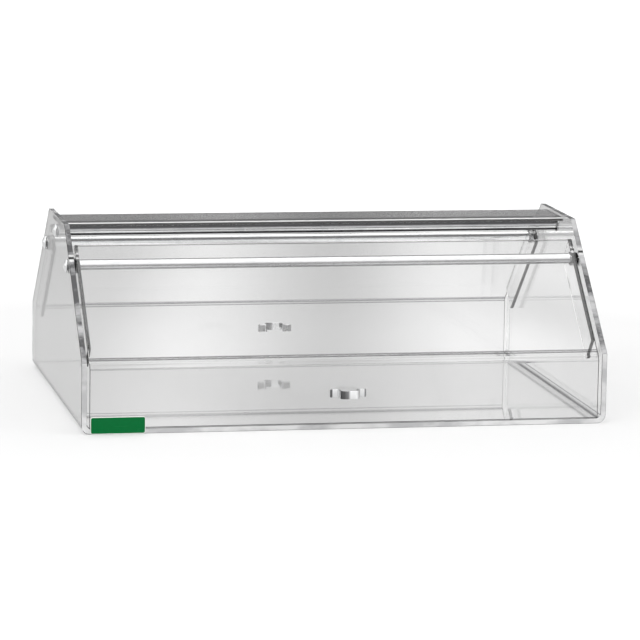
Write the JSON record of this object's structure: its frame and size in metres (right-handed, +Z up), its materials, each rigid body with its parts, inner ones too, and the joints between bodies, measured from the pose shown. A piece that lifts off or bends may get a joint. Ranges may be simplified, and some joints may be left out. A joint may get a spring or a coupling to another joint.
{
  "type": "countertop_bread_display_bin",
  "caption": "Low clear acrylic counter bin with a sloped flap door front and rear, hung on chrome cross rods, with small bow handles and a top panel",
  "frame": {"origin": "On the counter, under the middle of the case: the middle of the footprint of the bent case sheet, on its underside.", "axes": "+X runs along the rods to the right-hand wall as the front is looked at, +Y runs to the rear door, +Z is up. The front door faces -Y."},
  "size_m": [0.6088, 0.4702, 0.214],
  "materials": {
    "clear_acrylic": "polished cast acrylic sheet",
    "chromed_steel": "bright chrome plate",
    "black_nylon": "moulded nylon",
    "bonding_pad": "double-sided acrylic foam pad",
    "green_plate": "printed plastic plate"
  },
  "bodies": {
    "cabinet": {"case_shell": "clear_acrylic", "top_panel": "clear_acrylic", "top_rod": "chromed_steel", "front_rod": "chromed_steel", "rear_rod": "chromed_steel", "rod_screws": "chromed_steel"},
    "front_flap": {"front_door": "clear_acrylic", "front_left_cheek": "clear_acrylic", "front_right_cheek": "clear_acrylic", "front_left_bush": "black_nylon", "front_right_bush": "black_nylon", "front_handle": "chromed_steel", "front_handle_pads": "bonding_pad", "label_plate": "green_plate"},
    "rear_flap": {"rear_door": "clear_acrylic", "rear_left_cheek": "clear_acrylic", "rear_right_cheek": "clear_acrylic", "rear_left_bush": "black_nylon", "rear_right_bush": "black_nylon", "rear_handle": "chromed_steel", "rear_handle_pads": "bonding_pad"}
  },
  "joints": [
    {"name": "front_door_hinge", "type": "hinge", "parent": "cabinet", "child": "front_flap", "pos_m": [0, -0.09425, 0.17], "axis": [-1, 0, 0], "range_deg": [0, 150]},
    {"name": "rear_door_hinge", "type": "hinge", "parent": "cabinet", "child": "rear_flap", "pos_m": [0, 0.09425, 0.17], "axis": [1, 0, 0], "range_deg": [0, 150]}
  ]
}
